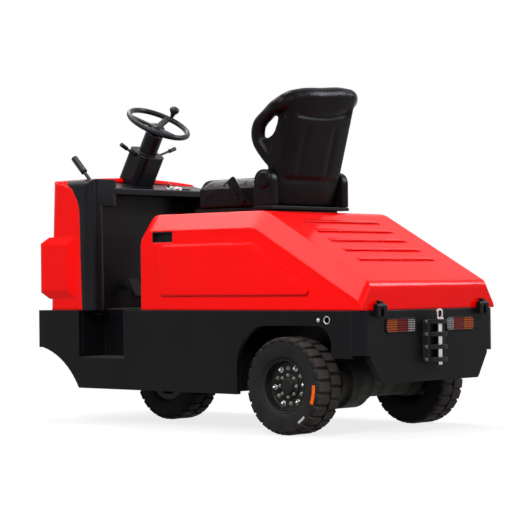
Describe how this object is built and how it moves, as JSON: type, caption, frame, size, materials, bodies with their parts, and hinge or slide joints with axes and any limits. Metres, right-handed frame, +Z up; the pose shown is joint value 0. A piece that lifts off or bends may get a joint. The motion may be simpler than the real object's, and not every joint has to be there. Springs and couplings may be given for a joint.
{
  "type": "electric airport baggage tow tractor",
  "caption": "Low-deck electric baggage tug: sloping tilt-up hood with seat, steered front wheel, driven rear wheels, cowl with steering wheel, and a multi-level drop-pin tow coupling",
  "frame": {"origin": "on the ground under the middle of the vehicle's box", "axes": "+X forward, +Y to the driver's left, +Z up"},
  "size_m": [2.246, 1.087, 1.6413],
  "materials": {
    "body_red": "gloss red enamel",
    "chassis_black": "satin black enamel",
    "dash_black": "grained black plastic",
    "seat_vinyl": "black seat vinyl",
    "tyre_black": "dark solid rubber",
    "rim_black": "black enamel",
    "bright_steel": "plated steel",
    "motor_grey": "grey enamel",
    "battery_case": "dark grey enamel",
    "pedal_rubber": "ribbed rubber",
    "tail_lens": "red and amber lens",
    "head_lens": "clear lens"
  },
  "bodies": {
    "chassis": {"side_plate_left": "chassis_black", "side_plate_right": "chassis_black", "front_bumper": "chassis_black", "rear_plate": "chassis_black", "tail_lamp_left": "tail_lens", "tail_lamp_right": "tail_lens", "chassis_frame": "chassis_black", "floor_plate": "chassis_black", "step_well_left": "chassis_black", "step_well_right": "chassis_black", "battery": "battery_case", "hinge_ears": "chassis_black", "rear_axle": "chassis_black", "drive_motor": "motor_grey", "front_cowl": "body_red", "headlamp_left": "head_lens", "headlamp_right": "head_lens", "dash_panel": "dash_black", "column_cover": "dash_black", "direction_stalk": "dash_black", "lamp_stalk": "dash_black", "brake_lever": "dash_black", "pedals": "pedal_rubber", "tow_hitch": "chassis_black", "hitch_pin": "bright_steel"},
    "rear_wheel_left": {"rear_tyre_left": "tyre_black", "rear_rim_left": "rim_black"},
    "rear_wheel_right": {"rear_tyre_right": "tyre_black", "rear_rim_right": "rim_black"},
    "fork": {"steer_fork": "chassis_black", "front_axle": "bright_steel"},
    "front_wheel": {"front_tyre": "tyre_black", "front_rim": "rim_black"},
    "steering": {"steering_wheel": "dash_black", "spinner_knob": "dash_black"},
    "hood": {"hood_shell": "body_red", "hood_grip_left": "dash_black", "hood_grip_right": "dash_black", "hood_hinge_leaves": "chassis_black", "seat_base": "chassis_black", "seat_cushion": "seat_vinyl", "seat_back": "seat_vinyl", "hip_restraint_left": "dash_black", "hip_restraint_right": "dash_black"}
  },
  "joints": [
    {"name": "steer", "type": "hinge", "parent": "chassis", "child": "fork", "pos_m": [0.607, 0, 0.52], "axis": [0, 0, 1], "range_deg": [-75, 75]},
    {"name": "front_wheel_spin", "type": "hinge", "parent": "fork", "child": "front_wheel", "pos_m": [0.607, 0, 0.225], "axis": [0, 1, 0], "continuous": true},
    {"name": "rear_left_spin", "type": "hinge", "parent": "chassis", "child": "rear_wheel_left", "pos_m": [-0.604, 0.4585, 0.225], "axis": [0, 1, 0], "continuous": true},
    {"name": "rear_right_spin", "type": "hinge", "parent": "chassis", "child": "rear_wheel_right", "pos_m": [-0.604, -0.4585, 0.225], "axis": [0, 1, 0], "continuous": true},
    {"name": "steering_turn", "type": "hinge", "parent": "chassis", "child": "steering", "pos_m": [0.728, 0, 1.531], "axis": [-0.5, 0, 0.866], "range_deg": [-450, 450]},
    {"name": "hood_tilt", "type": "hinge", "parent": "chassis", "child": "hood", "pos_m": [-1.058, 0, 0.588], "axis": [0, -1, 0], "range_deg": [0, 45]}
  ],
  "couplings": [
    {"joint": "steering_turn", "follows": "steer", "ratio": 6}
  ]
}
